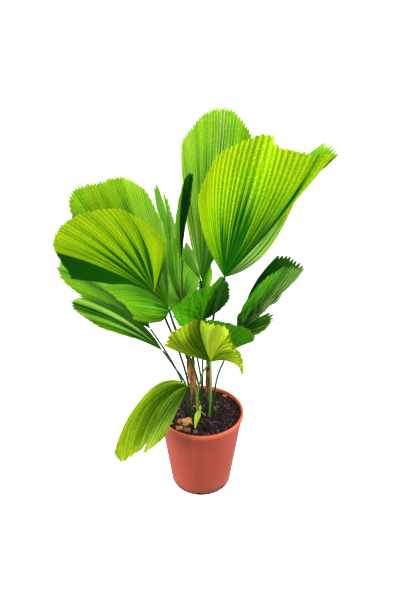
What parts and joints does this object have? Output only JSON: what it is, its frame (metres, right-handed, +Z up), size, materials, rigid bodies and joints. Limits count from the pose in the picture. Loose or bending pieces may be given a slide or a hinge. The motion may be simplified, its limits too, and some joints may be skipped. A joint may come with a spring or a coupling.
{
  "type": "potted fan palm",
  "caption": "Clump of round pleated fan-palm leaves on slender stalks, growing from soil in a tapered plastic nursery pot with a rolled lip and drain slots.",
  "frame": {"origin": "centre of the pot's foot, on the surface it stands on", "axes": "+Z up along the pot's axis, -Y towards the front, +X to the right seen from the front"},
  "size_m": [0.5667, 0.3359, 0.9152],
  "materials": {
    "pot_plastic": "satin moulded polypropylene, terracotta red",
    "soil": "dark crumbly bark and peat potting mix",
    "trunk_fibre": "brown woven leaf-sheath fibre",
    "leaf_green": "pleated satin leaf, bright green",
    "leaf_young": "pleated young leaf, lime yellow",
    "stalk_green": "smooth dark green stalk",
    "seedling_green": "soft young lime green",
    "bark": "pale broken bark"
  },
  "bodies": {
    "root": {"pot": "pot_plastic", "soil": "soil", "thick_trunk": "trunk_fibre", "slim_trunk": "trunk_fibre", "leaf_tall_back": "leaf_green", "leaf_front_right": "leaf_green", "leaf_left_back": "leaf_green", "leaf_left_front": "leaf_green", "leaf_left_small": "leaf_green", "leaf_left_low": "leaf_green", "leaf_left_lowest": "leaf_green", "leaf_back_narrow": "leaf_green", "leaf_centre_edge": "leaf_green", "leaf_centre_back": "leaf_green", "leaf_centre_narrow": "leaf_green", "leaf_centre_far": "leaf_green", "leaf_centre_cup": "leaf_green", "leaf_right_tall": "leaf_green", "leaf_right_segment": "leaf_green", "leaf_right_low": "leaf_green", "leaf_front_small": "leaf_young", "leaf_drooping": "leaf_green", "stalk_tall_back": "stalk_green", "stalk_front_right": "stalk_green", "stalk_left_back": "stalk_green", "stalk_left_front": "stalk_green", "stalk_left_small": "stalk_green", "stalk_left_low": "stalk_green", "stalk_left_lowest": "stalk_green", "stalk_back_narrow": "stalk_green", "stalk_centre_edge": "stalk_green", "stalk_centre_back": "stalk_green", "stalk_centre_narrow": "stalk_green", "stalk_centre_far": "stalk_green", "stalk_centre_cup": "stalk_green", "stalk_right_tall": "stalk_green", "stalk_right_low": "stalk_green", "stalk_front_small": "stalk_green", "stalk_drooping": "stalk_green", "seedling_stem": "seedling_green", "seedling_leaf": "seedling_green", "seedling_shoot": "seedling_green", "bark_chip_1": "bark", "bark_chip_2": "bark", "bark_chip_3": "bark", "bark_chip_4": "bark", "bark_chip_5": "bark", "bark_chip_6": "bark"}
  },
  "joints": []
}
